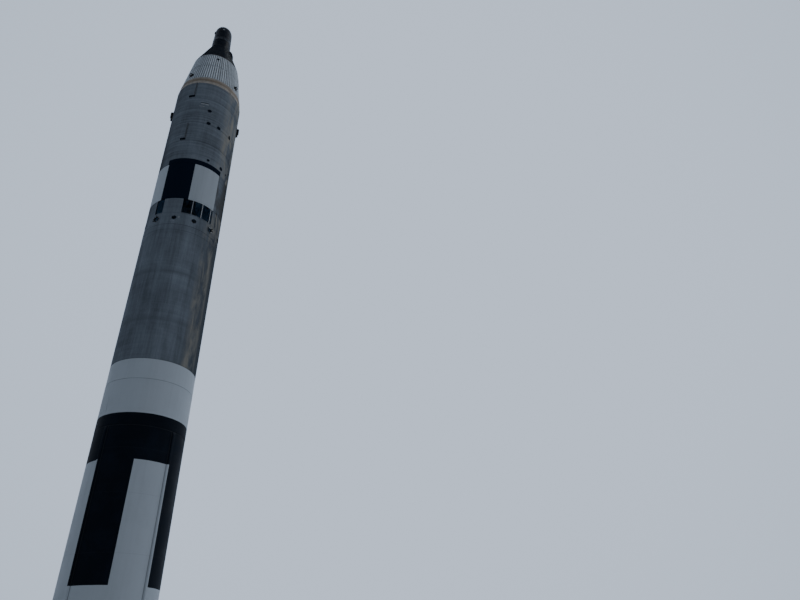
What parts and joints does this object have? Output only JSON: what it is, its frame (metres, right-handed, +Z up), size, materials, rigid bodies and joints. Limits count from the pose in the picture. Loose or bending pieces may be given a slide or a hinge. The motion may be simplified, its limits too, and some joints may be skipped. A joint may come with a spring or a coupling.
{
  "type": "two-stage crewed space rocket",
  "caption": "Slim two-stage launch rocket with a small two-seat crewed capsule on a ribbed adapter, gimballed thrust chambers and hinged crew hatches.",
  "frame": {"origin": "on the vehicle's axis in the hold-down plane, the lower faces of the four feet and lower edge of the tail skirt", "axes": "+Z up along the axis to the nose; -Y is the middle line between the two painted sectors that face the viewer; the crew hatches are on +Y"},
  "size_m": [3.3334, 3.268, 33.2],
  "materials": {
    "white_paint": "satin white paint, weathered",
    "black_paint": "satin black paint",
    "bare_metal": "bare skin, streaked and dull",
    "primer": "tan primer",
    "ribbed_white": "white paint over fine ribs",
    "engine_metal": "dull steel",
    "dark_steel": "dark steel",
    "heat_shield": "matt brown",
    "fabric": "woven cover",
    "window_glass": "clear"
  },
  "bodies": {
    "vehicle": {"tail_skirt": "white_paint", "fuel_tank": "white_paint", "between_tanks": "white_paint", "oxidizer_tank": "bare_metal", "interstage": "bare_metal", "vent_wall": "bare_metal", "thrust_frame": "dark_steel", "turbopump_front": "engine_metal", "turbopump_rear": "engine_metal", "exhaust_stack_front": "dark_steel", "exhaust_stack_rear": "dark_steel", "upper_engine": "engine_metal", "upper_aft_skirt": "black_paint", "upper_fuel_tank": "bare_metal", "upper_between_tanks": "bare_metal", "upper_oxidizer_tank": "bare_metal", "forward_skirt": "bare_metal", "service_line_lower": "dark_steel", "service_line_upper": "dark_steel", "flank_fitting_right": "dark_steel", "flank_fitting_left": "dark_steel", "mating_ring": "primer", "equipment_section": "ribbed_white", "retrograde_section": "ribbed_white", "heat_shield": "heat_shield", "cabin_shell": "black_paint", "crew_seats": "fabric", "thruster_section": "black_paint", "nose_section": "black_paint", "nose_cap": "black_paint", "sensor_fairing": "black_paint", "hold_down_foot_1": "dark_steel", "raceway_1": "white_paint", "attitude_thruster_1": "dark_steel", "hold_down_foot_2": "dark_steel", "raceway_2": "white_paint", "attitude_thruster_2": "dark_steel", "hold_down_foot_3": "dark_steel", "raceway_3": "white_paint", "attitude_thruster_3": "dark_steel", "hold_down_foot_4": "dark_steel", "raceway_4": "white_paint", "attitude_thruster_4": "dark_steel"},
    "gimbal_left": {"gimbal_cross_left": "dark_steel"},
    "chamber_left": {"thrust_chamber_left": "engine_metal", "chamber_yoke_left": "dark_steel"},
    "hatch_left": {"hatch_left": "black_paint", "window_left": "window_glass"},
    "gimbal_right": {"gimbal_cross_right": "dark_steel"},
    "chamber_right": {"thrust_chamber_right": "engine_metal", "chamber_yoke_right": "dark_steel"},
    "hatch_right": {"hatch_right": "black_paint", "window_right": "window_glass"}
  },
  "joints": [
    {"name": "chamber_left_pitch", "type": "hinge", "parent": "vehicle", "child": "gimbal_left", "pos_m": [-0.75, 0, 0.33], "axis": [1, 0, 0], "range_deg": [-4.5, 4.5]},
    {"name": "chamber_left_yaw", "type": "hinge", "parent": "gimbal_left", "child": "chamber_left", "pos_m": [-0.75, 0, 0.33], "axis": [0, 1, 0], "range_deg": [-4.5, 4.5]},
    {"name": "chamber_right_pitch", "type": "hinge", "parent": "vehicle", "child": "gimbal_right", "pos_m": [0.75, 0, 0.33], "axis": [1, 0, 0], "range_deg": [-4.5, 4.5]},
    {"name": "chamber_right_yaw", "type": "hinge", "parent": "gimbal_right", "child": "chamber_right", "pos_m": [0.75, 0, 0.33], "axis": [0, 1, 0], "range_deg": [-4.5, 4.5]},
    {"name": "hatch_right_hinge", "type": "hinge", "parent": "vehicle", "child": "hatch_right", "pos_m": [0.62206, 0.57402, 28.91404], "axis": [0.2556, 0.2359, -0.9375], "range_deg": [0, 100]},
    {"name": "hatch_left_hinge", "type": "hinge", "parent": "vehicle", "child": "hatch_left", "pos_m": [-0.62206, 0.57402, 28.91404], "axis": [0.2556, -0.2359, 0.9375], "range_deg": [0, 100]}
  ]
}
